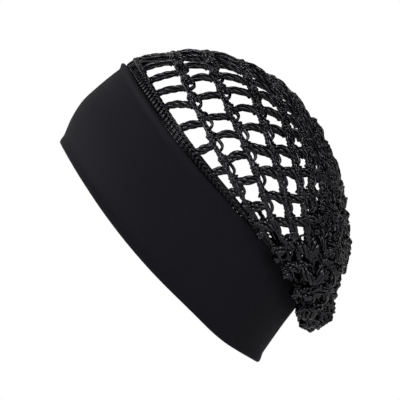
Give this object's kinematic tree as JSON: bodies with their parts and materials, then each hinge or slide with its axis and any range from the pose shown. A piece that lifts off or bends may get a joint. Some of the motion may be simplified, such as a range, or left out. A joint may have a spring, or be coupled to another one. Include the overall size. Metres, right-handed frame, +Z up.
{
  "type": "crochet hair net",
  "caption": "Slouchy open crochet snood on a wide smooth stretch headband, shown in its worn form, that holds the hair in a bunched pouch at the back of the head",
  "frame": {"origin": "the middle of the head opening, which is the headband's lower edge", "axes": "+Z up as worn, -Y the way the wearer looks, +X to the wearer's left; X = 0 is the mirror plane"},
  "size_m": [0.175, 0.1914, 0.2055],
  "materials": {
    "jersey": "smooth matt black stretch jersey, double layer",
    "yarn": "black lightly glossy crochet yarn"
  },
  "bodies": {
    "root": {"headband": "jersey", "crochet_edging": "yarn", "crown_net": "yarn", "closing_ring": "yarn"}
  },
  "joints": []
}
